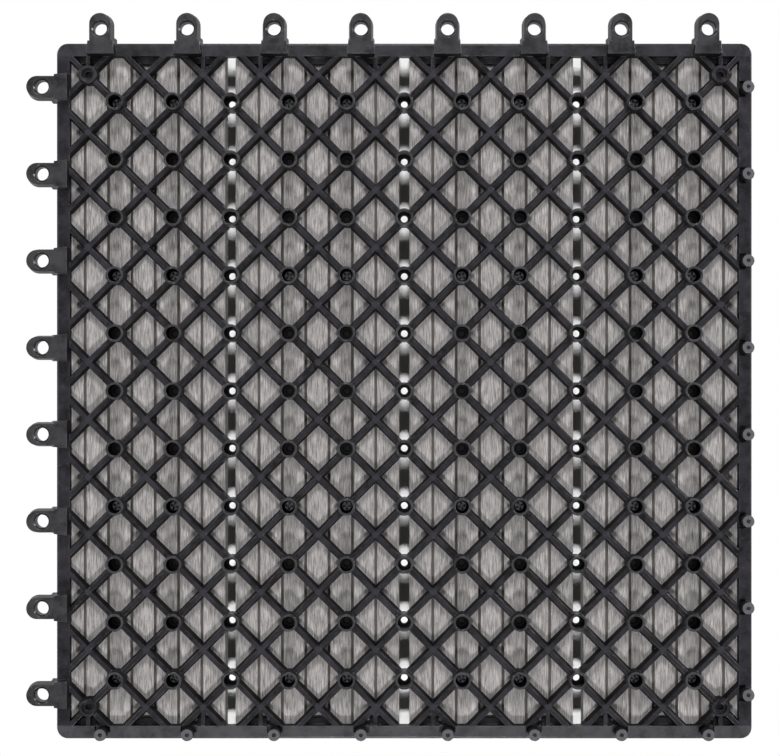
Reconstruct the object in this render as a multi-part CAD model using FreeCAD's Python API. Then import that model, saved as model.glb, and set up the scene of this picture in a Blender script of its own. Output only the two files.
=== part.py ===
import FreeCAD, Part
import math
import os

# An interlocking deck tile: four grooved boards screwed onto one moulded plastic grid.
# Millimetres. Z is up, Y runs along the boards, and the origin lies in the plane of the
# feet, under the middle of the tile. Rings stand out on the +X and +Y sides. On the -X and
# -Y sides hang the pins that a neighbour's rings fit over.

# Grid
FOOT_PITCH = 25.0
FEET_PER_SIDE = 11
FOOT_DROP = 6.0
GRID_THICK = 4.5
RIM_BEYOND = 1.1
RIM_WIDTH = 5.6
CORNER_ROUND = 4.8
RIM_EDGE_ROUND = 0.8

# Diagonal ribs, which taper towards the ground
RIB_TIP_WIDTH = 2.0
RIB_ROOT_WIDTH = 3.7

# Round cup feet. Their floors are pierced at the screws and in the gaps, and blind under the boards
FOOT_WALL = 0.95
CUP_RADIUS = 2.85
CUP_FLOOR = 1.7
FLOOR_HOLE_RADIUS = 1.5
FLOOR_SKIN = 0.6

# Hubs at the four corners
HUB_TIP_RADIUS = 3.8
HUB_RADIUS = 4.3
HUB_DROP = 1.0
HUB_RECESS_RADIUS = 2.7
HUB_RECESS_DEPTH = 2.5
HUB_HOLE_RADIUS = 1.5
HUB_HOLE_DEPTH = 4.5

# Ledges and short ribs along the two rims that cross the boards' ends
LEDGE_WIDTH = 2.85
LEDGE_THICK = 1.2
SHORT_RIB_WIDTH = 1.7
SHORT_RIB_SETBACK = 0.4

# Pins, each in a slot that is open towards the middle of the tile
PIN_RADIUS = 2.55
PIN_INSET = 2.7
PIN_BEAD = 0.2
PIN_BEAD_LAND = 1.2
PIN_BEAD_SLOPE = 0.4
PIN_BEAD_LEVEL = 1.8
PIN_DIMPLE_RADIUS = 0.9
PIN_DIMPLE_DEPTH = 0.5
PIN_SLOT_GAP = 0.85
PIN_SLOT_ROOF = 2.0

# Rings, each a plate at the level of the ground that a tall neck and a pad tie to the rim
RINGS_PER_SIDE = 8
RING_CLEARANCE = 0.15
RING_HEADROOM = 0.2
RING_WIDTH = 9.2
RING_END_WALL = 3.7
RING_DRAFT = 0.12
RING_MOUTH_CHAMFER = 0.8
RING_NECK_CLEARANCE = 0.3
RING_NECK_SETBACK = 0.6
RING_PAD_FRONT_WIDTH = 10.8
RING_PAD_WIDTH = 12.0

# Joined tiles repeat at this step
TILE_STEP = 304.8

# Boards
BOARD_COUNT = 4
BOARD_GAP = 4.5
BOARD_MARGIN = 1.35
BOARD_THICK = 11.5
BOARD_ROUND = 1.5
GROOVES_PER_BOARD = 6
GROOVE_WIDTH = 1.2
GROOVE_DEPTH = 1.0

# Screws, two to a row and four rows to a board
SCREW_ROWS = (-5, -2, 2, 5)
SCREW_HEAD_CLEARANCE = 0.15
SCREW_HEAD_HEIGHT = 2.0
SCREW_HEAD_BEVEL = 0.6
SCREW_SHANK_CLEARANCE = 0.1
SCREW_LENGTH = 10.0
SCREW_POINT = 2.0
PILOT_CLEARANCE = 0.05
PILOT_SPARE_DEPTH = 0.5

# Levels above the ground
GRID_BOTTOM = FOOT_DROP
GRID_TOP = GRID_BOTTOM + GRID_THICK
CUP_TOP = GRID_TOP - CUP_FLOOR
BOARD_TOP = GRID_TOP + BOARD_THICK
RIM_EDGE_TOP = GRID_BOTTOM + RIM_EDGE_ROUND

# Places and widths that follow from the sizes above
HALF_PITCH = FOOT_PITCH / 2
LAST_FOOT = (FEET_PER_SIDE - 1) // 2
HALF_SIDE = (FEET_PER_SIDE + 1) * HALF_PITCH + RIM_BEYOND
HUB_PLACE = FEET_PER_SIDE * HALF_PITCH
RIM_INSIDE = HALF_SIDE - RIM_WIDTH
RIB_SPACING = FOOT_PITCH / math.sqrt(2)
FOOT_RADIUS = CUP_RADIUS + FOOT_WALL
PIN_PLACE = HALF_SIDE - PIN_INSET
PIN_SLOT_HALF = PIN_RADIUS + PIN_SLOT_GAP
RING_PITCH = FOOT_PITCH + HALF_PITCH
RING_HOLE_RADIUS = PIN_RADIUS + PIN_BEAD + RING_CLEARANCE
RING_HOLE_PLACE = TILE_STEP - PIN_PLACE
RING_END = RING_HOLE_PLACE + RING_HOLE_RADIUS + RING_END_WALL
RING_PLATE_TOP = FOOT_DROP - RING_HEADROOM
RING_NECK_END = TILE_STEP - HALF_SIDE - RING_NECK_CLEARANCE
BOARD_HALF_LENGTH = HALF_SIDE - BOARD_MARGIN
BOARD_WIDTH = (2 * BOARD_HALF_LENGTH - (BOARD_COUNT - 1) * BOARD_GAP) / BOARD_COUNT
SHANK_RADIUS = FLOOR_HOLE_RADIUS - SCREW_SHANK_CLEARANCE

# Cuts run this far past a face, and what is left of an opening below this volume is no opening
OVERSHOOT = 1.0
SLIVER = 1.0

UP = FreeCAD.Vector(0, 0, 1)
ORIGIN = FreeCAD.Vector(0, 0, 0)


def cylinder(radius, bottom, top, x=0.0, y=0.0):
    return Part.makeCylinder(radius, top - bottom, FreeCAD.Vector(x, y, bottom))


def cone(low_radius, high_radius, bottom, top, x=0.0, y=0.0):
    return Part.makeCone(low_radius, high_radius, top - bottom, FreeCAD.Vector(x, y, bottom))


def block(x_from, x_to, y_from, y_to, z_from, z_to):
    corner = FreeCAD.Vector(x_from, y_from, z_from)
    return Part.makeBox(x_to - x_from, y_to - y_from, z_to - z_from, corner)


def moved(shape, x, y):
    copy = shape.copy()
    copy.translate(FreeCAD.Vector(x, y, 0))
    return copy


def planar(points):
    return Part.Face(Part.makePolygon(points + points[:1]))


def spread_evenly(count, pitch):
    first = -(count - 1) / 2 * pitch
    return [first + n * pitch for n in range(count)]


def foot_places():
    line = spread_evenly(FEET_PER_SIDE, FOOT_PITCH)
    return [(x, y) for x in line for y in line]


def hub_places():
    ends = (-HUB_PLACE, HUB_PLACE)
    return [(x, y) for x in ends for y in ends]


def along_two_sides(shape):
    # A row of copies on the side where the shape stands, and the same turned a quarter to the left
    row = [moved(shape, 0, y) for y in spread_evenly(RINGS_PER_SIDE, RING_PITCH)]
    turned = [copy.copy() for copy in row]
    for copy in turned:
        copy.rotate(ORIGIN, UP, 90)
    return row + turned


# Openings between the ribs


def diamond():
    # The ribs taper, so the opening between four of them is a square frustum set on its corner
    low = (RIB_SPACING - RIB_TIP_WIDTH) / math.sqrt(2)
    high = (RIB_SPACING - RIB_ROOT_WIDTH) / math.sqrt(2)
    corners = [(1, 0), (0, 1), (-1, 0), (0, -1)]
    bottom = [FreeCAD.Vector(low * x, low * y, GRID_BOTTOM) for x, y in corners]
    top = [FreeCAD.Vector(high * x, high * y, GRID_TOP) for x, y in corners]
    faces = [planar(bottom), planar(top)]
    for n in range(len(corners)):
        after = (n + 1) % len(corners)
        faces.append(planar([bottom[n], bottom[after], top[after], top[n]]))
    return Part.makeSolid(Part.makeShell(faces))


def posts_beside(x, y):
    # Feet and hubs that stand at the corners of the opening centred here
    posts = [(px, py, FOOT_RADIUS) for px, py in foot_places()]
    posts += [(px, py, HUB_RADIUS) for px, py in hub_places()]
    near = [post for post in posts if math.hypot(post[0] - x, post[1] - y) < FOOT_PITCH - HUB_RADIUS]
    return [cylinder(radius, GRID_BOTTOM, GRID_TOP, px, py) for px, py, radius in near]


def end_ledge(x, side):
    # A strip along the rim at the boards' level, interrupted where a pin's slot opens
    low, high = sorted((side * (RIM_INSIDE - LEDGE_WIDTH), side * (RIM_INSIDE + OVERSHOOT)))
    strip = block(x - HALF_PITCH, x + HALF_PITCH, low, high, GRID_TOP - LEDGE_THICK, GRID_TOP)
    if side > 0:
        return strip
    slots = []
    for pin_x in spread_evenly(RINGS_PER_SIDE, RING_PITCH):
        left = pin_x - PIN_SLOT_HALF
        right = pin_x + PIN_SLOT_HALF
        slots.append(block(left, right, low, high, GRID_BOTTOM, GRID_TOP))
    return strip.cut(slots)


def short_rib(x, side):
    low, high = sorted((side * HUB_PLACE, side * (RIM_INSIDE + OVERSHOOT)))
    half = SHORT_RIB_WIDTH / 2
    return block(x - half, x + half, low, high, GRID_BOTTOM + SHORT_RIB_SETBACK, GRID_TOP)


def opening(x, y):
    cutters = posts_beside(x, y)
    if abs(y) > HUB_PLACE:
        side = math.copysign(1, y)
        cutters.append(end_ledge(x, side))
        to_nearest_ring = min(abs(x - ring) for ring in spread_evenly(RINGS_PER_SIDE, RING_PITCH))
        if to_nearest_ring < HALF_PITCH:
            cutters.append(short_rib(x, side))
    inside = block(-RIM_INSIDE, RIM_INSIDE, -RIM_INSIDE, RIM_INSIDE, GRID_BOTTOM, GRID_TOP)
    rest = moved(diamond(), x, y).common(inside).cut(cutters)
    return [solid for solid in rest.Solids if solid.Volume > SLIVER]


def openings():
    # Each opening between two feet is like the next, and those at the rim are made one by one
    foot_lines = [n * FOOT_PITCH for n in range(-LAST_FOOT - 1, LAST_FOOT + 2)]
    middle_lines = [n * FOOT_PITCH + HALF_PITCH for n in range(-LAST_FOOT - 1, LAST_FOOT + 1)]
    beside_foot = opening(HALF_PITCH, 0)[0]
    behind_foot = opening(0, HALF_PITCH)[0]
    solids = []
    for middle in middle_lines:
        for line in foot_lines:
            if max(abs(middle), abs(line)) > HUB_PLACE - OVERSHOOT:
                solids += opening(middle, line) + opening(line, middle)
            else:
                solids.append(moved(beside_foot, middle - HALF_PITCH, line))
                solids.append(moved(behind_foot, line, middle - HALF_PITCH))
    return solids


# Feet, hubs, pins and rings


def foot():
    return cylinder(FOOT_RADIUS, 0, GRID_BOTTOM)


def cup(hole_top):
    # The hollow of a foot, and the hole in its floor up to the level given
    bore = cylinder(CUP_RADIUS, 0, CUP_TOP)
    return bore.fuse(cylinder(FLOOR_HOLE_RADIUS, CUP_TOP, hole_top))


def cups():
    # A floor stays blind where a board covers the foot and no screw goes through it
    pierced = cup(GRID_TOP)
    blind = cup(GRID_TOP - FLOOR_SKIN)
    covered = [place for board_x in board_places() for place in feet_under(board_x)]
    screwed = [place for board_x in board_places() for place in screw_places(board_x)]
    solids = []
    for place in foot_places():
        shut = place in covered and place not in screwed
        solids.append(moved(blind if shut else pierced, *place))
    return solids


def hub(x, y):
    return cone(HUB_TIP_RADIUS, HUB_RADIUS, GRID_BOTTOM - HUB_DROP, GRID_BOTTOM, x, y)


def hub_bore(x, y):
    tip = GRID_BOTTOM - HUB_DROP
    recess = cylinder(HUB_RECESS_RADIUS, tip, tip + HUB_RECESS_DEPTH, x, y)
    return recess.fuse(cylinder(HUB_HOLE_RADIUS, tip, tip + HUB_HOLE_DEPTH, x, y))


def pin_slot():
    # A notch round the inner half of a pin on the -X side, from the rim's underside to a roof
    roof = GRID_TOP - PIN_SLOT_ROOF
    notch = block(-PIN_PLACE, -RIM_INSIDE, -PIN_SLOT_HALF, PIN_SLOT_HALF, GRID_BOTTOM, roof)
    return notch.cut(cylinder(PIN_RADIUS, GRID_BOTTOM, roof, -PIN_PLACE))


def pin():
    # A snap bead runs round the stem: a straight land that the rings grip, with a slope on either side
    bead = PIN_RADIUS + PIN_BEAD
    low = PIN_BEAD_LEVEL - PIN_BEAD_LAND / 2
    high = PIN_BEAD_LEVEL + PIN_BEAD_LAND / 2
    stem = cylinder(PIN_RADIUS, 0, RIM_EDGE_TOP, -PIN_PLACE)
    rise = cone(PIN_RADIUS, bead, low - PIN_BEAD_SLOPE, low, -PIN_PLACE)
    land = cylinder(bead, low, high, -PIN_PLACE)
    fall = cone(bead, PIN_RADIUS, high, high + PIN_BEAD_SLOPE, -PIN_PLACE)
    dimple = cylinder(PIN_DIMPLE_RADIUS, 0, PIN_DIMPLE_DEPTH, -PIN_PLACE)
    return stem.fuse([rise, land, fall]).cut(dimple)


def ring():
    # The outline narrows towards the ground by the draft of the mould
    neck_top = GRID_TOP - RING_NECK_SETBACK
    low = RING_WIDTH / 2
    high = low + RING_DRAFT * neck_top
    end_place = RING_END - low
    section = planar(
        [
            FreeCAD.Vector(HALF_SIDE, -low, 0),
            FreeCAD.Vector(HALF_SIDE, low, 0),
            FreeCAD.Vector(HALF_SIDE, high, neck_top),
            FreeCAD.Vector(HALF_SIDE, -high, neck_top),
        ]
    )
    arm = section.extrude(FreeCAD.Vector(end_place - HALF_SIDE, 0, 0))
    end = cone(low, high, 0, neck_top, end_place)
    headroom = block(RING_NECK_END, RING_END + high, -high, high, RING_PLATE_TOP, GRID_TOP)
    mouth_radius = RING_HOLE_RADIUS + RING_MOUTH_CHAMFER
    hole = cylinder(RING_HOLE_RADIUS, 0, GRID_TOP, RING_HOLE_PLACE)
    mouth = cone(mouth_radius, RING_HOLE_RADIUS, 0, RING_MOUTH_CHAMFER, RING_HOLE_PLACE)
    pad_front = RING_PAD_FRONT_WIDTH / 2
    pad_back = RING_PAD_WIDTH / 2
    pad_outline = planar(
        [
            FreeCAD.Vector(RIM_INSIDE, -pad_back, 0),
            FreeCAD.Vector(RIM_INSIDE, pad_back, 0),
            FreeCAD.Vector(HALF_SIDE, pad_front, 0),
            FreeCAD.Vector(HALF_SIDE, -pad_front, 0),
        ]
    )
    pad = pad_outline.extrude(FreeCAD.Vector(0, 0, RIM_EDGE_TOP))
    return arm.fuse(end).cut([headroom, hole, mouth]).fuse(pad)


def plain_slab():
    slab = block(-HALF_SIDE, HALF_SIDE, -HALF_SIDE, HALF_SIDE, GRID_BOTTOM, GRID_TOP)
    upright = [edge for edge in slab.Edges if edge.BoundBox.ZLength > GRID_THICK / 2]
    slab = slab.makeFillet(CORNER_ROUND, upright)
    lower = [edge for edge in slab.Edges if edge.BoundBox.ZMax < GRID_BOTTOM + GRID_THICK / 2]
    return slab.makeFillet(RIM_EDGE_ROUND, lower)


def base_grid():
    one_foot = foot()
    feet = [moved(one_foot, x, y) for x, y in foot_places()]
    hubs = [hub(x, y) for x, y in hub_places()]
    solid = plain_slab().multiFuse(feet + hubs + along_two_sides(ring()) + along_two_sides(pin()))
    bores = [hub_bore(x, y) for x, y in hub_places()]
    hollows = (openings(), cups(), bores, along_two_sides(pin_slot()))
    return solid.cut([Part.makeCompound(group) for group in hollows]).removeSplitter()


# Boards and screws


def board_places():
    return spread_evenly(BOARD_COUNT, BOARD_WIDTH + BOARD_GAP)


def feet_under(board_x):
    # Every foot whose whole width lies under the board
    reach = BOARD_WIDTH / 2 - FOOT_RADIUS
    return [(x, y) for x, y in foot_places() if abs(x - board_x) < reach]


def screw_places(board_x):
    rows = [row * FOOT_PITCH for row in SCREW_ROWS]
    return [(x, y) for x, y in feet_under(board_x) if y in rows]


def board(board_x):
    left = board_x - BOARD_WIDTH / 2
    right = board_x + BOARD_WIDTH / 2
    end = BOARD_HALF_LENGTH
    plank = block(left, right, -end, end, GRID_TOP, BOARD_TOP)
    upper = [edge for edge in plank.Edges if edge.BoundBox.ZMin > BOARD_TOP - BOARD_ROUND]
    plank = plank.makeFillet(BOARD_ROUND, upper)
    cuts = []
    for offset in spread_evenly(GROOVES_PER_BOARD, BOARD_WIDTH / (GROOVES_PER_BOARD + 1)):
        groove_left = board_x + offset - GROOVE_WIDTH / 2
        groove_right = groove_left + GROOVE_WIDTH
        cuts.append(block(groove_left, groove_right, -end, end, GRID_TOP, GRID_TOP + GROOVE_DEPTH))
        cuts.append(block(groove_left, groove_right, -end, end, BOARD_TOP - GROOVE_DEPTH, BOARD_TOP))
    pilot_top = CUP_TOP + SCREW_LENGTH + PILOT_SPARE_DEPTH
    for x, y in screw_places(board_x):
        cuts.append(cylinder(SHANK_RADIUS + PILOT_CLEARANCE, GRID_TOP, pilot_top, x, y))
    return plank.cut(cuts)


def screw():
    # The head bears up on the cup's floor, and the shank passes through its hole into the board
    head_radius = CUP_RADIUS - SCREW_HEAD_CLEARANCE
    head_bottom = CUP_TOP - SCREW_HEAD_HEIGHT
    tip = CUP_TOP + SCREW_LENGTH
    bevel = cone(head_radius - SCREW_HEAD_BEVEL, head_radius, head_bottom, head_bottom + SCREW_HEAD_BEVEL)
    head = cylinder(head_radius, head_bottom + SCREW_HEAD_BEVEL, CUP_TOP)
    shank = cylinder(SHANK_RADIUS, CUP_TOP, tip - SCREW_POINT)
    point = cone(SHANK_RADIUS, 0, tip - SCREW_POINT, tip)
    return bevel.fuse([head, shank, point])


def main():
    nodes = {"base_grid": base_grid()}
    for n, board_x in enumerate(board_places()):
        nodes["board_%d" % (n + 1)] = board(board_x)
    places = [place for board_x in board_places() for place in screw_places(board_x)]
    nodes["screws"] = Part.makeCompound([moved(screw(), x, y) for x, y in places])

    os.makedirs("parts", exist_ok=True)
    for name, shape in nodes.items():
        shape.exportStep("parts/%s.step" % name)
        print(name, "solids", len(shape.Solids), "volume", round(shape.Volume))


main()
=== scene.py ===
import math

import bmesh
import bpy
from mathutils import Matrix, Vector


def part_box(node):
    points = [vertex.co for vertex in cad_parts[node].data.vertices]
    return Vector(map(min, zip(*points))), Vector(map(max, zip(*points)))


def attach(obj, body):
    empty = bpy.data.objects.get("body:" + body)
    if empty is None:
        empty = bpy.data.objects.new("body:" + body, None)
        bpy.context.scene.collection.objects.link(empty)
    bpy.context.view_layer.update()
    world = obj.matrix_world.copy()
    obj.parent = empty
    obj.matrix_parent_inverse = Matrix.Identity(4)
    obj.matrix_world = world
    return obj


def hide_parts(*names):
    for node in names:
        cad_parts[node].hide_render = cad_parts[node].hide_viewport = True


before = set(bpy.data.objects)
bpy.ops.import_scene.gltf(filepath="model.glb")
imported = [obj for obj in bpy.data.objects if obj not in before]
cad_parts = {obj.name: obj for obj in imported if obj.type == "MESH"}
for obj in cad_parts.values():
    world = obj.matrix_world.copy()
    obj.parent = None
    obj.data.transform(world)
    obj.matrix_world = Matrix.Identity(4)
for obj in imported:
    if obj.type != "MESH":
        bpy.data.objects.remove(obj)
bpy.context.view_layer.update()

bl_info = {
    "name": "Deck Tile Dressing",
    "version": (1, 0, 0),
    "blender": (4, 5, 0),
    "location": "View3D > Sidebar > Deck Tile",
    "description": "Dresses a plastic lattice base, its grooved boards and its screws, and sets the stage",
    "category": "Object",
}

BOARD_NODES = sorted(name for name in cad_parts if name.startswith("board_"))
GRID_NODE = "base_grid"
SCREW_NODE = "screws"
MM = 0.001

# The feet stand on a square lattice, and these columns and rows of it, counted from the middle, take screws
FOOT_PITCH = 25.0 * MM
SCREW_COLUMNS = (-5, -4, -2, -1, 1, 2, 4, 5)
SCREW_ROWS = (-5, -2, 2, 5)
TURN_STEP = math.radians(137.5)
LEVEL_TOLERANCE = 0.01 * MM

# Facets round a screw's head, and how far the cross's floor and the end of the point narrow
HEAD_SEGMENTS = 24
CROSS_FLOOR_SCALE = 0.6
POINT_END_SCALE = 0.05

# Faces count as upright, and edges as turned, over these spans of a normal's height and of two normals' match
UPRIGHT_SPAN = (0.3, 0.8)
TURNED_SPAN = (0.8, 0.98)

# Where the plastic wears, and where its rims take painted light: up from the ground, out from the rims' inner
# line and up from just under them.
# The rims' grey, patchy wear with painted light over it, lessens from the -Y end of the tile to the other
GROUND_WEAR = (0.1 * MM, 0.4 * MM)
RIM_INNER_LINE = (145.2 * MM, 145.8 * MM)
RIM_UNDERSIDE = (5.0 * MM, 5.6 * MM)
END_TO_END = (-150.0 * MM, 150.0 * MM)

# Spans of the flow noise over which scuffs, rubbed edges with their painted highlight and the rims' grey with
# its painted light set in
SCUFF_FLOW = (0.4, 0.6)
RUB_AND_HIGHLIGHT_FLOW = (0.4, 0.62)
GREY_AND_LIGHT_FLOW = (0.36, 0.64)

# The plastic's heights and gloss, and how its sides and the pins' tips differ from the rest; the sides'
# darker colour is painted shade
MARK_SOFTNESS = 0.15 * MM
MARK_HEIGHT = 0.15 * MM
GRAIN_HEIGHT = 0.12 * MM
POLISH_BELOW = 0.08
POLISH_ABOVE = 0.12
SIDE_SHADE_GAIN = 0.15
SIDE_ROUGHNESS = 0.6
TIP_GAIN = 1.6
PLASTIC_IOR = 1.35
PLASTIC_SPECULAR = 0.28

# Scales of the boards' patterns on the three axes, of which Y runs along the boards
STREAK_SCALE = (2500.0, 170.0, 2500.0)
BAND_SCALE = (450.0, 30.0, 450.0)
CLOUD_SCALE = 70.0
CLOUD_STRETCH = (1.0, 0.7, 1.0)
FLECK_SCALE = (1100.0, 420.0, 1100.0)

# The boards' brushed faces reach this deep, and from the second depth on the board is bare and takes its
# painted shade
BRUSHED_DEPTH = 0.05 * MM
BARE_DEPTH = 0.5 * MM
BRUSH_STRENGTH = 0.5
BRUSH_HEIGHT = 0.12 * MM
BOARD_SPECULAR = 0.25

# The picture, and where the middle of the tile lies in it
PICTURE_WIDTH_PX = 780.0
PICTURE_HEIGHT_PX = 756.0
TILE_CENTRE_X_PX = 404.3
TILE_CENTRE_Y_PX = 391.0
SENSOR_WIDTH_MM = 36.0

# Stage, in metres
TILE_MIDDLE = Vector((0.0, 0.0, 0.0))
FLOOR_REACH = 3.0
FLOOR_FADE = (0.35, 1.3)
FLOOR_ROUGHNESS = 0.9
WORLD_LIGHT = 0.03


# Helpers for shader nodes


class Shader:
    """A material's node tree, with short calls that add and wire nodes"""

    def __init__(self, name):
        self.material = bpy.data.materials.new(name)
        self.material.use_nodes = True
        self.tree = self.material.node_tree
        self.surface = self.tree.nodes["Principled BSDF"]
        self.output = self.tree.nodes["Material Output"]
        coordinates = self.tree.nodes.new("ShaderNodeTexCoord")
        self.place = coordinates.outputs["Object"]
        self.normal = coordinates.outputs["Normal"]

    def node(self, kind, **settings):
        made = self.tree.nodes.new(kind)
        for key, value in settings.items():
            setattr(made, key, value)
        return made

    def wire(self, source, socket):
        self.tree.links.new(source, socket)

    def stretched(self, scale):
        """Object coordinates stretched by a scale for each axis"""
        mapping = self.node("ShaderNodeMapping")
        mapping.inputs["Scale"].default_value = scale
        self.wire(self.place, mapping.inputs["Vector"])
        return mapping.outputs["Vector"]

    def noise(self, scale, detail=4.0, roughness=0.55, vector=None):
        texture = self.node("ShaderNodeTexNoise")
        texture.inputs["Scale"].default_value = scale
        texture.inputs["Detail"].default_value = detail
        texture.inputs["Roughness"].default_value = roughness
        self.wire(vector or self.place, texture.inputs["Vector"])
        return texture.outputs["Fac"]

    def ramp(self, factor, stops):
        """A colour ramp with (position, colour) stops"""
        ramp = self.node("ShaderNodeValToRGB")
        elements = ramp.color_ramp.elements
        while len(elements) < len(stops):
            elements.new(0.5)
        for element, (position, colour) in zip(elements, stops):
            element.position = position
            element.color = colour
        self.wire(factor, ramp.inputs["Fac"])
        return ramp.outputs["Color"]

    def span(self, factor, low, high, from_low=0.0, from_high=1.0):
        """Maps a factor that runs between two values onto the span from low to high"""
        span = self.node("ShaderNodeMapRange")
        span.inputs["From Min"].default_value = from_low
        span.inputs["From Max"].default_value = from_high
        span.inputs["To Min"].default_value = low
        span.inputs["To Max"].default_value = high
        self.wire(factor, span.inputs["Value"])
        return span.outputs["Result"]

    def maths(self, operation, first, second=None):
        """One step of arithmetic on sockets or plain numbers"""
        step = self.node("ShaderNodeMath", operation=operation)
        for socket, term in zip(step.inputs, (first, second)):
            if isinstance(term, float):
                socket.default_value = term
            elif term is not None:
                self.wire(term, socket)
        return step.outputs["Value"]

    def coordinates(self):
        """The object coordinates one by one"""
        parts = self.node("ShaderNodeSeparateXYZ")
        self.wire(self.place, parts.inputs["Vector"])
        return parts.outputs["X"], parts.outputs["Y"], parts.outputs["Z"]

    def blend(self, factor, first, second, mode="MIX"):
        mix = self.node("ShaderNodeMix", data_type="RGBA", blend_type=mode)
        if isinstance(factor, float):
            mix.inputs[0].default_value = factor
        else:
            self.wire(factor, mix.inputs[0])
        for socket, colour in ((mix.inputs[6], first), (mix.inputs[7], second)):
            if isinstance(colour, tuple):
                socket.default_value = colour
            else:
                self.wire(colour, socket)
        return mix.outputs[2]

    def upright(self):
        """One on upright faces and none on level ones"""
        facing = self.node("ShaderNodeSeparateXYZ")
        self.wire(self.normal, facing.inputs["Vector"])
        return self.span(self.maths("ABSOLUTE", facing.outputs["Z"]), 1.0, 0.0, *UPRIGHT_SPAN)

    def rounded_edges(self, radius):
        """A shading normal that turns softly over every edge"""
        bevel = self.node("ShaderNodeBevel", samples=6)
        bevel.inputs["Radius"].default_value = radius
        return bevel.outputs["Normal"]

    def worn_and_highlit_edges(self, edges):
        """One where the softly turned normal leaves the face's own, as it does along edges"""
        face = self.node("ShaderNodeNewGeometry")
        match = self.node("ShaderNodeVectorMath", operation="DOT_PRODUCT")
        self.wire(edges, match.inputs[0])
        self.wire(face.outputs["Normal"], match.inputs[1])
        return self.span(match.outputs["Value"], 1.0, 0.0, *TURNED_SPAN)

    def bump(self, height, strength, distance, normal=None):
        bump = self.node("ShaderNodeBump")
        bump.inputs["Strength"].default_value = strength
        bump.inputs["Distance"].default_value = distance
        self.wire(height, bump.inputs["Height"])
        if normal is not None:
            self.wire(normal, bump.inputs["Normal"])
        return bump.outputs["Normal"]


def opaque(colour, gain=1.0):
    return (colour[0] * gain, colour[1] * gain, colour[2] * gain, 1.0)


def set_material(obj, material):
    obj.data.materials.clear()
    obj.data.materials.append(material)


# Materials


def moulded_plastic(settings):
    """Dark moulded plastic: flow marks, pale specks, wear, a fine grain and softly lit edges, with a painted
    highlight on the rubbed edges, painted shade on the sides and painted light on the rims across the boards'
    ends
    """
    shader = Shader("moulded_plastic")
    flow = shader.noise(settings.flow_scale, detail=8.0, roughness=0.75)
    marks = pin_marks(shader, settings.mark_radius)
    upright = shader.upright()
    edges = shader.rounded_edges(settings.edge_radius)
    marked = shader.blend(marks, flowing_tone(shader, settings, flow), opaque(settings.mark_colour))
    # Scuffs and pale pin tips are wear; the rims' grey in it is partly painted light
    worn = worn_and_lit_places(shader, settings, flow, marked)
    # Upright faces take a much darker colour: painted shade on the sides
    shaded = shader.blend(upright, worn, opaque(settings.colour, SIDE_SHADE_GAIN))
    # Lighter rubbed edges: wear, and a painted highlight along every edge
    rubbed = shader.maths("MULTIPLY", shader.worn_and_highlit_edges(edges), shader.span(flow, 0.0, 1.0, *RUB_AND_HIGHLIGHT_FLOW))
    coloured = shader.blend(rubbed, shaded, opaque(settings.edge_wear_and_highlight_colour))
    shader.wire(coloured, shader.surface.inputs["Base Color"])
    grain = shader.noise(settings.grain_scale, detail=5.0, roughness=0.6)
    polish = shader.span(grain, settings.roughness - POLISH_BELOW, settings.roughness + POLISH_ABOVE)
    dull = shader.maths("MAXIMUM", polish, shader.maths("MULTIPLY", upright, SIDE_ROUGHNESS))
    shader.wire(dull, shader.surface.inputs["Roughness"])
    raised = shader.bump(marks, 1.0, MARK_HEIGHT, edges)
    bumped = shader.bump(grain, settings.grain_strength, GRAIN_HEIGHT, raised)
    shader.wire(bumped, shader.surface.inputs["Normal"])
    shader.surface.inputs["IOR"].default_value = PLASTIC_IOR
    shader.surface.inputs["Specular IOR Level"].default_value = PLASTIC_SPECULAR
    return shader.material


def flowing_tone(shader, settings, flow):
    """The plastic's own tone, which follows its flow, with pale specks in it"""
    tone = shader.ramp(flow, [(0.34, opaque(settings.colour, 0.1)), (0.66, opaque(settings.colour, 5.0))])
    specks = shader.noise(settings.speck_scale, detail=2.0, roughness=0.7)
    speck_mask = shader.span(specks, 0.0, settings.speck_amount, 0.6, 0.68)
    return shader.blend(speck_mask, tone, opaque(settings.speck_colour))


def worn_and_lit_places(shader, settings, flow, unworn):
    """Scuffs near the ground, pale tips on the pins, and grey on the rims across the boards' ends that is
    partly wear and partly painted light
    """
    x, y, z = shader.coordinates()
    near_ground = shader.span(z, 1.0, 0.0, *GROUND_WEAR)
    scuffs = shader.maths("MULTIPLY", near_ground, shader.span(flow, 0.2, 1.0, *SCUFF_FLOW))
    scuffed = shader.blend(scuffs, unworn, opaque(settings.worn_colour))
    towards_pins = shader.maths("MULTIPLY", shader.maths("MINIMUM", x, y), -1.0)
    tips = shader.maths("MULTIPLY", near_ground, shader.span(towards_pins, 0.0, 1.0, *RIM_INNER_LINE))
    tipped = shader.blend(tips, scuffed, opaque(settings.rim_wear_and_light_colour, TIP_GAIN))
    # The rims' grey: patchy wear, with painted light that is strongest at the -Y end
    return shader.blend(rim_grey_and_light(shader, flow, y, z), tipped, opaque(settings.rim_wear_and_light_colour))


def rim_grey_and_light(shader, flow, y, z):
    """How grey the rims across the boards' ends are: patchy like the flow, as wear, and most on the -Y side,
    as painted light
    """
    on_rim = shader.span(shader.maths("ABSOLUTE", y), 0.0, 1.0, *RIM_INNER_LINE)
    above_underside = shader.span(z, 0.0, 1.0, *RIM_UNDERSIDE)
    amount = shader.maths("MULTIPLY", shader.span(y, 1.0, 0.3, *END_TO_END), above_underside)
    patchy = shader.maths("MULTIPLY", amount, shader.span(flow, 0.4, 1.2, *GREY_AND_LIGHT_FLOW))
    return shader.maths("MULTIPLY", on_rim, patchy)


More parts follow.
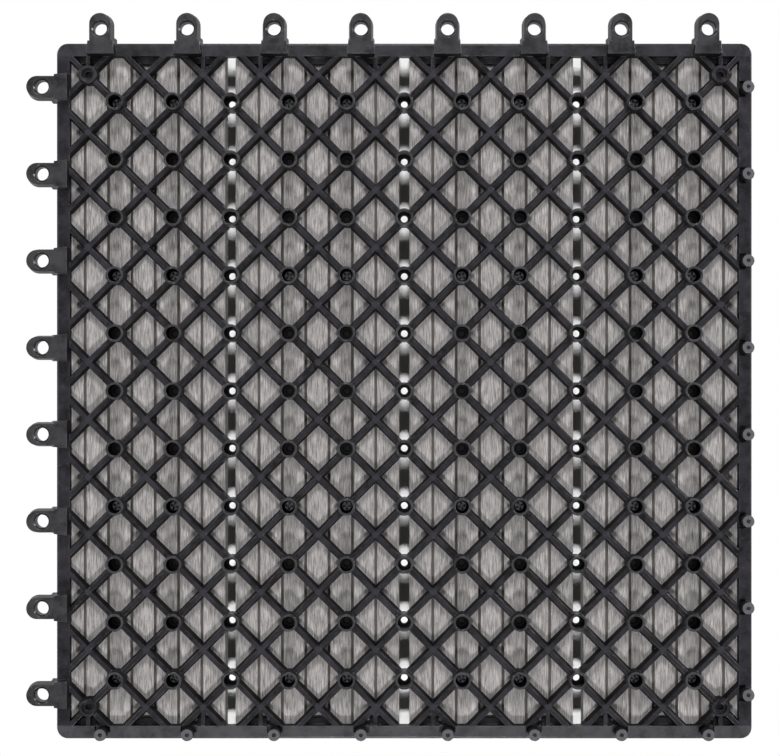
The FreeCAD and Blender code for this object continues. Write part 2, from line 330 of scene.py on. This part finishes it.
def pin_marks(shader, radius):
    """Round marks that the mould's pins leave where two ribs cross, half a pitch from the feet"""
    half = FOOT_PITCH / 2
    level_ways = shader.coordinates()[:2]
    away = [shader.maths("SUBTRACT", half, shader.maths("PINGPONG", way, half)) for way in level_ways]
    squares = [shader.maths("MULTIPLY", distance, distance) for distance in away]
    from_crossing = shader.maths("SQRT", shader.maths("ADD", *squares))
    return shader.span(from_crossing, 1.0, 0.0, radius - MARK_SOFTNESS, radius)


def board_composite(settings):
    """Wood and plastic composite: brushed faces with streaks and flecks, and dark grooves and sides, whose
    darkness is their unbrushed tone and painted shade
    """
    shader = Shader("board_composite")
    fine = shader.noise(1.0, detail=4.0, roughness=0.75, vector=shader.stretched(STREAK_SCALE))
    brushed = brushed_tone(shader, settings, fine)
    # Grooves and sides: unbrushed tone, and painted shade in the recesses and along the gaps
    coloured = shader.blend(depth_in_board(shader), brushed, opaque(settings.unbrushed_and_shade_colour))
    shader.wire(coloured, shader.surface.inputs["Base Color"])
    shader.wire(shader.span(fine, 0.62, 0.9), shader.surface.inputs["Roughness"])
    edges = shader.rounded_edges(settings.edge_radius)
    shader.wire(shader.bump(fine, BRUSH_STRENGTH, BRUSH_HEIGHT, edges), shader.surface.inputs["Normal"])
    shader.surface.inputs["Specular IOR Level"].default_value = BOARD_SPECULAR
    return shader.material


def brushed_tone(shader, settings, fine):
    """Broad bands along the board with fine streaks, soft clouds and dark flecks over them"""
    bands = shader.noise(1.0, detail=3.0, vector=shader.stretched(BAND_SCALE))
    base = shader.ramp(bands, [(0.3, opaque(settings.colour, 0.9)), (0.7, opaque(settings.colour, 1.1))])
    streaks = shader.ramp(fine, [(0.36, (0.4, 0.39, 0.39, 1.0)), (0.62, (1.5, 1.49, 1.48, 1.0))])
    streaked = shader.blend(0.9, base, streaks, "MULTIPLY")
    patches = shader.noise(CLOUD_SCALE, detail=5.0, roughness=0.65, vector=shader.stretched(CLOUD_STRETCH))
    clouds = shader.ramp(patches, [(0.36, (0.86, 0.86, 0.87, 1.0)), (0.6, (1.06, 1.05, 1.05, 1.0))])
    clouded = shader.blend(0.85, streaked, clouds, "MULTIPLY")
    flecks = shader.noise(1.0, detail=2.0, vector=shader.stretched(FLECK_SCALE))
    fleck_mask = shader.span(flecks, 0.0, 0.6, 0.64, 0.74)
    return shader.blend(fleck_mask, clouded, opaque(settings.colour, 0.45))


def depth_in_board(shader):
    """How far a point lies below the board's two faces: none on them, full in grooves and on sides"""
    low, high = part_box(BOARD_NODES[0])
    height = shader.coordinates()[2]
    from_middle = shader.maths("SUBTRACT", height, (low[2] + high[2]) / 2)
    either_way = shader.maths("ABSOLUTE", from_middle)
    half = (high[2] - low[2]) / 2
    return shader.span(either_way, 0.0, 1.0, half - BRUSHED_DEPTH, half - BARE_DEPTH)


def dark_steel(settings):
    """Blackened steel with worn, brighter patches"""
    shader = Shader("dark_steel")
    wear = shader.noise(900.0, detail=4.0)
    tone = shader.ramp(wear, [(0.35, opaque(settings.colour, 0.7)), (0.7, opaque(settings.colour, 1.8))])
    shader.wire(tone, shader.surface.inputs["Base Color"])
    shader.wire(shader.span(wear, 0.22, 0.42), shader.surface.inputs["Roughness"])
    shader.wire(shader.rounded_edges(0.15 * MM), shader.surface.inputs["Normal"])
    shader.surface.inputs["Metallic"].default_value = 1.0
    return shader.material


# Settings


class DECKTILE_PG_plastic(bpy.types.PropertyGroup):
    colour: bpy.props.FloatVectorProperty(
        name="Colour", description="Colour of the moulded grid", subtype="COLOR", size=3,
        min=0.0, max=1.0, default=(0.0036, 0.0033, 0.0043))
    speck_colour: bpy.props.FloatVectorProperty(
        name="Speck Colour", description="Colour of the pale specks in the plastic", subtype="COLOR", size=3,
        min=0.0, max=1.0, default=(0.03, 0.03, 0.034))
    worn_colour: bpy.props.FloatVectorProperty(
        name="Worn Colour", description="Colour of the faces that rub on the ground", subtype="COLOR", size=3,
        min=0.0, max=1.0, default=(0.026, 0.0255, 0.028))
    # Grey of the rims across the boards' ends: wear, and painted light; the pins' tips take it paler
    rim_wear_and_light_colour: bpy.props.FloatVectorProperty(
        name="Rim Colour", description="Colour of the greyed rims across the boards' ends", subtype="COLOR",
        size=3, min=0.0, max=1.0, default=(0.038, 0.0375, 0.041))
    # A pale colour along the edges: wear, and a painted highlight
    edge_wear_and_highlight_colour: bpy.props.FloatVectorProperty(
        name="Edge Colour", description="Colour of the rubbed edges", subtype="COLOR", size=3,
        min=0.0, max=1.0, default=(0.045, 0.044, 0.048))
    mark_colour: bpy.props.FloatVectorProperty(
        name="Mark Colour", description="Colour of the round marks where ribs cross", subtype="COLOR", size=3,
        min=0.0, max=1.0, default=(0.016, 0.016, 0.02))
    mark_radius: bpy.props.FloatProperty(
        name="Mark Radius", description="Radius of the round marks where ribs cross", unit="LENGTH",
        min=0.0, default=1.5 * MM)
    speck_amount: bpy.props.FloatProperty(
        name="Speck Amount", description="How strongly the specks show", subtype="FACTOR",
        min=0.0, max=1.0, default=0.5)
    speck_scale: bpy.props.FloatProperty(
        name="Speck Scale", description="Specks per metre, roughly", min=1.0, default=900.0)
    flow_scale: bpy.props.FloatProperty(
        name="Flow Scale", description="Flow marks per metre, roughly", min=1.0, default=110.0)
    grain_scale: bpy.props.FloatProperty(
        name="Grain Scale", description="Grains per metre, roughly", min=1.0, default=2200.0)
    grain_strength: bpy.props.FloatProperty(
        name="Grain Strength", description="Strength of the grain's bump", subtype="FACTOR",
        min=0.0, max=1.0, default=0.35)
    roughness: bpy.props.FloatProperty(
        name="Roughness", description="Dullness of the plastic", subtype="FACTOR",
        min=0.0, max=1.0, default=0.22)
    edge_radius: bpy.props.FloatProperty(
        name="Edge Radius", description="How far the light turns over an edge", unit="LENGTH",
        min=0.0, default=0.6 * MM)


class DECKTILE_PG_boards(bpy.types.PropertyGroup):
    colour: bpy.props.FloatVectorProperty(
        name="Colour", description="Colour of the boards", subtype="COLOR", size=3,
        min=0.0, max=1.0, default=(0.24, 0.231, 0.23))
    # Grooves and sides aren't brushed, and their darker colour is painted shade as well
    unbrushed_and_shade_colour: bpy.props.FloatVectorProperty(
        name="Groove Colour", description="Colour of the grooves and sides, which aren't brushed",
        subtype="COLOR", size=3, min=0.0, max=1.0, default=(0.064, 0.058, 0.055))
    edge_radius: bpy.props.FloatProperty(
        name="Edge Radius", description="How far the light turns over an edge", unit="LENGTH",
        min=0.0, default=0.3 * MM)


class DECKTILE_PG_screws(bpy.types.PropertyGroup):
    colour: bpy.props.FloatVectorProperty(
        name="Colour", description="Colour of the screws", subtype="COLOR", size=3,
        min=0.0, max=1.0, default=(0.06, 0.06, 0.065))
    head_height: bpy.props.FloatProperty(
        name="Head Height", description="Height of the head", unit="LENGTH",
        min=0.0, default=2.0 * MM)
    head_round: bpy.props.FloatProperty(
        name="Head Round", description="Rounding of the head's edge", unit="LENGTH",
        min=0.0, default=0.8 * MM)
    shank_radius: bpy.props.FloatProperty(
        name="Shank Radius", description="Radius of the shank", unit="LENGTH",
        min=0.0, default=1.4 * MM)
    point_length: bpy.props.FloatProperty(
        name="Point Length", description="Length of the point", unit="LENGTH",
        min=0.0, default=2.0 * MM)
    cross_width: bpy.props.FloatProperty(
        name="Cross Width", description="Width of each slot of the cross", unit="LENGTH",
        min=0.0, default=0.8 * MM)
    cross_span: bpy.props.FloatProperty(
        name="Cross Span", description="Length of each slot of the cross", unit="LENGTH",
        min=0.0, default=3.3 * MM)
    cross_depth: bpy.props.FloatProperty(
        name="Cross Depth", description="Depth of the cross", unit="LENGTH",
        min=0.0, default=1.3 * MM)


class DECKTILE_PG_stage(bpy.types.PropertyGroup):
    camera_distance: bpy.props.FloatProperty(
        name="Camera Distance", description="From the plane of the feet down to the camera", unit="LENGTH",
        min=0.1, default=0.722)
    view_width: bpy.props.FloatProperty(
        name="View Width", description="Width of the picture in the plane of the feet", unit="LENGTH",
        min=0.1, default=0.3362)
    floor_colour: bpy.props.FloatVectorProperty(
        name="Floor Colour", description="Colour of the floor", subtype="COLOR", size=3,
        min=0.0, max=1.0, default=(0.82, 0.82, 0.82))
    sheet_depth: bpy.props.FloatProperty(
        name="Sheet Depth", description="From the walking face down to the white strips", unit="LENGTH",
        min=0.0, default=0.05 * MM)
    sheet_overlap: bpy.props.FloatProperty(
        name="Sheet Overlap", description="How far the strips reach over the boards' rounded edges",
        unit="LENGTH", min=0.0, default=1.4 * MM)
    sheet_colour: bpy.props.FloatVectorProperty(
        name="Sheet Colour", description="Colour of the strips that close the gaps", subtype="COLOR", size=3,
        min=0.0, max=1.0, default=(1.0, 1.0, 1.0))


# Pieces


def at_level(vert, level):
    return abs(vert.co.z - level) < LEVEL_TOLERANCE


def faces_at(bm, level):
    return [face for face in bm.faces if all(at_level(vert, level) for vert in face.verts)]


def push_out(bm, faces, distance):
    """Extrudes faces upwards by a distance and gives back the new vertices"""
    made = bmesh.ops.extrude_face_region(bm, geom=faces)["geom"]
    verts = [item for item in made if isinstance(item, bmesh.types.BMVert)]
    bmesh.ops.translate(bm, verts=verts, vec=(0.0, 0.0, distance))
    bmesh.ops.delete(bm, geom=[face for face in faces if face.is_valid], context="FACES_ONLY")
    return verts


def add_object(name, bm):
    """Turns a finished bmesh into an object of the scene"""
    mesh = bpy.data.meshes.new(name)
    bm.to_mesh(mesh)
    bm.free()
    obj = bpy.data.objects.new(name, mesh)
    bpy.context.scene.collection.objects.link(obj)
    return obj


class DECKTILE_OT_grid(bpy.types.Operator):
    """Gives the moulded grid its plastic"""

    bl_idname = "decktile.grid"
    bl_label = "Dress the Grid"

    def execute(self, context):
        set_material(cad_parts[GRID_NODE], moulded_plastic(context.scene.decktile_plastic))
        return {"FINISHED"}


class DECKTILE_OT_boards(bpy.types.Operator):
    """Gives the boards their streaked composite"""

    bl_idname = "decktile.boards"
    bl_label = "Dress the Boards"

    def execute(self, context):
        material = board_composite(context.scene.decktile_boards)
        for name in BOARD_NODES:
            set_material(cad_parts[name], material)
        return {"FINISHED"}


class DECKTILE_OT_screws(bpy.types.Operator):
    """Models the cross-head screws, each with its cross turned another way"""

    bl_idname = "decktile.screws"
    bl_label = "Drive the Screws"

    def execute(self, context):
        settings = context.scene.decktile_screws
        low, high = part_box(SCREW_NODE)
        head_radius = high[0] - SCREW_COLUMNS[-1] * FOOT_PITCH
        bm = bmesh.new()
        self.head(bm, settings, low[2], head_radius)
        self.cross(bm, settings, low[2])
        self.shank(bm, settings, low[2], high[2], head_radius)
        self.spread(bm)
        screws = add_object("cross_head_screws", bm)
        set_material(screws, dark_steel(settings))
        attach(screws, "root")
        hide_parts(SCREW_NODE)
        return {"FINISHED"}

    def head(self, bm, settings, bottom, radius):
        place = Matrix.Translation((0.0, 0.0, bottom + settings.head_height / 2))
        bmesh.ops.create_cone(
            bm, cap_ends=True, segments=HEAD_SEGMENTS, radius1=radius, radius2=radius,
            depth=settings.head_height, matrix=place)
        rim = [edge for edge in bm.edges if all(at_level(vert, bottom) for vert in edge.verts)]
        bmesh.ops.bevel(
            bm, geom=rim, offset=settings.head_round, offset_type="OFFSET", affect="EDGES",
            segments=3, profile=0.5, material=-1)

    def cross(self, bm, settings, bottom):
        """Cuts the flat of the head into strips and sinks those that make the cross"""
        half_width = settings.cross_width / 2
        half_span = settings.cross_span / 2
        for axis in (Vector((1, 0, 0)), Vector((0, 1, 0))):
            for distance in (-half_span, -half_width, half_width, half_span):
                flat = faces_at(bm, bottom)
                edges = dict.fromkeys(edge for face in flat for edge in face.edges)
                verts = dict.fromkeys(vert for face in flat for vert in face.verts)
                bmesh.ops.bisect_plane(
                    bm, geom=flat + list(edges) + list(verts), plane_co=axis * distance, plane_no=axis)
        sunk = []
        for face in faces_at(bm, bottom):
            x, y = face.calc_center_median()[:2]
            long_way = max(abs(x), abs(y)) < half_span
            narrow_way = min(abs(x), abs(y)) < half_width
            if long_way and narrow_way:
                sunk.append(face)
        floor = push_out(bm, sunk, settings.cross_depth)
        bmesh.ops.scale(bm, vec=(CROSS_FLOOR_SCALE, CROSS_FLOOR_SCALE, 1.0), verts=floor)

    def shank(self, bm, settings, bottom, tip, head_radius):
        """Draws the shank up out of the head, and its end out to a point"""
        head_top = bottom + settings.head_height
        shank_top = tip - settings.point_length
        shoulder = head_radius - settings.shank_radius
        crown = faces_at(bm, head_top)
        bmesh.ops.inset_region(bm, faces=crown, thickness=shoulder, use_even_offset=True)
        push_out(bm, crown, shank_top - head_top)
        point = push_out(bm, faces_at(bm, shank_top), settings.point_length)
        bmesh.ops.scale(bm, vec=(POINT_END_SCALE, POINT_END_SCALE, 1.0), verts=point)
        bmesh.ops.recalc_face_normals(bm, faces=bm.faces)

    def spread(self, bm):
        """Puts a copy at each foot that takes a screw, and takes the first one away"""
        first = list(bm.verts) + list(bm.edges) + list(bm.faces)
        places = [(column, row) for column in SCREW_COLUMNS for row in SCREW_ROWS]
        for number, (column, row) in enumerate(places):
            copy = bmesh.ops.duplicate(bm, geom=first)["geom"]
            verts = [item for item in copy if isinstance(item, bmesh.types.BMVert)]
            turn = Matrix.Rotation(number * TURN_STEP, 3, "Z")
            bmesh.ops.rotate(bm, verts=verts, cent=(0, 0, 0), matrix=turn)
            bmesh.ops.translate(bm, verts=verts, vec=(column * FOOT_PITCH, row * FOOT_PITCH, 0.0))
        bmesh.ops.delete(bm, geom=[item for item in first if isinstance(item, bmesh.types.BMVert)])


# Stage


def hide_but_from_camera(obj):
    obj.visible_shadow = False
    obj.visible_diffuse = False
    obj.visible_glossy = False
    obj.visible_transmission = False


def one_sided_white(name, colour):
    """A pale matt surface that the camera looks through from behind, and that fades out far from the tile"""
    shader = Shader(name)
    shader.surface.inputs["Base Color"].default_value = opaque(colour)
    shader.surface.inputs["Roughness"].default_value = FLOOR_ROUGHNESS
    shader.surface.inputs["Specular IOR Level"].default_value = 0.0
    facing = shader.node("ShaderNodeNewGeometry")
    path = shader.node("ShaderNodeLightPath")
    behind = shader.maths("MULTIPLY", facing.outputs["Backfacing"], path.outputs["Is Camera Ray"])
    from_middle = shader.node("ShaderNodeVectorMath", operation="LENGTH")
    shader.wire(shader.place, from_middle.inputs[0])
    faded = shader.span(from_middle.outputs["Value"], 0.0, 1.0, *FLOOR_FADE)
    clear = shader.node("ShaderNodeBsdfTransparent")
    choice = shader.node("ShaderNodeMixShader")
    shader.wire(shader.maths("MAXIMUM", behind, faded), choice.inputs["Fac"])
    shader.wire(shader.surface.outputs["BSDF"], choice.inputs[1])
    shader.wire(clear.outputs["BSDF"], choice.inputs[2])
    shader.wire(choice.outputs["Shader"], shader.output.inputs["Surface"])
    return shader.material


def area_lamp(name, place, size, power):
    """A square soft lamp that points from its place at the middle of the tile"""
    data = bpy.data.lights.new(name, "AREA")
    data.shape = "SQUARE"
    data.size = size
    data.energy = power
    lamp = bpy.data.objects.new(name, data)
    lamp.location = place
    lamp.rotation_euler = (TILE_MIDDLE - Vector(place)).to_track_quat("-Z", "Y").to_euler()
    bpy.context.scene.collection.objects.link(lamp)


def white_world():
    """A white surround that lights the tile at a lower level than it shows"""
    world = bpy.data.worlds.new("studio")
    world.use_nodes = True
    tree = world.node_tree
    background = tree.nodes["Background"]
    background.inputs["Color"].default_value = (1.0, 1.0, 1.0, 1.0)
    path = tree.nodes.new("ShaderNodeLightPath")
    seen = path.outputs["Is Camera Ray"]
    for kind in ("Is Glossy Ray", "Is Transmission Ray"):
        either = tree.nodes.new("ShaderNodeMath")
        either.operation = "MAXIMUM"
        tree.links.new(seen, either.inputs[0])
        tree.links.new(path.outputs[kind], either.inputs[1])
        seen = either.outputs["Value"]
    level = tree.nodes.new("ShaderNodeMapRange")
    level.inputs["To Min"].default_value = WORLD_LIGHT
    level.inputs["To Max"].default_value = 1.0
    tree.links.new(seen, level.inputs["Value"])
    tree.links.new(level.outputs["Result"], background.inputs["Strength"])
    return world


class DECKTILE_OT_stage(bpy.types.Operator):
    """Adds the floor, the strips in the gaps, the lamps, the white surround and the camera under the tile"""

    bl_idname = "decktile.stage"
    bl_label = "Set the Stage"

    def execute(self, context):
        settings = context.scene.decktile_stage
        self.floor(settings)
        self.sheet(settings)
        self.lamps()
        self.camera(context, settings)
        context.scene.world = white_world()
        context.scene.view_settings.view_transform = "Standard"
        return {"FINISHED"}

    def floor(self, settings):
        bm = bmesh.new()
        bmesh.ops.create_grid(bm, x_segments=1, y_segments=1, size=FLOOR_REACH)
        floor = add_object("floor", bm)
        set_material(floor, one_sided_white("floor", settings.floor_colour))
        hide_but_from_camera(floor)

    def sheet(self, settings):
        """White strips that close the gaps near the walking face, seen only from below"""
        bm = bmesh.new()
        for one, other in zip(BOARD_NODES, BOARD_NODES[1:]):
            low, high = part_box(one)
            next_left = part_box(other)[0][0]
            width = next_left - high[0] + 2 * settings.sheet_overlap
            # A square of unit width, scaled to the gap
            strip = bmesh.ops.create_grid(bm, x_segments=1, y_segments=1, size=0.5)["verts"]
            bmesh.ops.scale(bm, verts=strip, vec=(width, high[1] - low[1], 1.0))
            place = ((high[0] + next_left) / 2, 0.0, high[2] - settings.sheet_depth)
            bmesh.ops.translate(bm, verts=strip, vec=place)
        bmesh.ops.reverse_faces(bm, faces=bm.faces)
        sheet = add_object("sheet", bm)
        set_material(sheet, one_sided_white("sheet", settings.sheet_colour))
        hide_but_from_camera(sheet)
        # The strips shade the gaps from the lamps above
        sheet.visible_shadow = True

    def lamps(self):
        """Name, place, side and power of each lamp"""
        area_lamp("under_top", (0.0, 0.97, -1.02), 0.35, 19.0)
        area_lamp("under_bottom", (0.0, -0.97, -1.02), 0.16, 17.0)
        area_lamp("under_left", (1.0, 0.0, -0.85), 0.5, 5.0)
        area_lamp("under_right", (-1.0, 0.0, -0.85), 0.5, 5.0)
        area_lamp("rim_left", (1.1, 0.6, -0.3), 0.3, 8.0)
        area_lamp("rim_right", (-1.16, 0.61, -0.26), 0.3, 20.0)
        area_lamp("over_left", (1.5, -0.8, 1.1), 1.0, 22.0)
        area_lamp("over_right", (-1.5, -0.3, 1.1), 1.0, 11.0)
        area_lamp("over_top", (0.0, 0.3, 2.4), 2.5, 35.0)

    def camera(self, context, settings):
        """Looks straight up, with the shift that puts the tile where the picture has it"""
        data = bpy.data.cameras.new("camera")
        data.sensor_width = SENSOR_WIDTH_MM
        data.lens = SENSOR_WIDTH_MM * settings.camera_distance / settings.view_width
        data.shift_x = (PICTURE_WIDTH_PX / 2 - TILE_CENTRE_X_PX) / PICTURE_WIDTH_PX
        data.shift_y = (TILE_CENTRE_Y_PX - PICTURE_HEIGHT_PX / 2) / PICTURE_WIDTH_PX
        camera = bpy.data.objects.new("camera", data)
        camera.location = (0.0, 0.0, -settings.camera_distance)
        camera.rotation_euler = (0.0, math.pi, 0.0)
        context.scene.collection.objects.link(camera)
        context.scene.camera = camera


class DECKTILE_PT_panel(bpy.types.Panel):
    """Lists the pieces of the deck tile and the stage"""

    bl_idname = "DECKTILE_PT_panel"
    bl_label = "Deck Tile"
    bl_space_type = "VIEW_3D"
    bl_region_type = "UI"
    bl_category = "Deck Tile"

    def draw(self, context):
        for operator in OPERATORS:
            self.layout.operator(operator.bl_idname)


SETTINGS = {
    "decktile_plastic": DECKTILE_PG_plastic,
    "decktile_boards": DECKTILE_PG_boards,
    "decktile_screws": DECKTILE_PG_screws,
    "decktile_stage": DECKTILE_PG_stage,
}
OPERATORS = (DECKTILE_OT_grid, DECKTILE_OT_boards, DECKTILE_OT_screws, DECKTILE_OT_stage)
CLASSES = tuple(SETTINGS.values()) + OPERATORS + (DECKTILE_PT_panel,)


def register():
    for cls in CLASSES:
        bpy.utils.register_class(cls)
    for name, group in SETTINGS.items():
        setattr(bpy.types.Scene, name, bpy.props.PointerProperty(type=group))


def unregister():
    for name in SETTINGS:
        delattr(bpy.types.Scene, name)
    for cls in reversed(CLASSES):
        bpy.utils.unregister_class(cls)


def main():
    register()
    bpy.ops.decktile.grid()
    bpy.ops.decktile.boards()
    bpy.ops.decktile.screws()
    bpy.ops.decktile.stage()


if __name__ == "__main__":
    main()
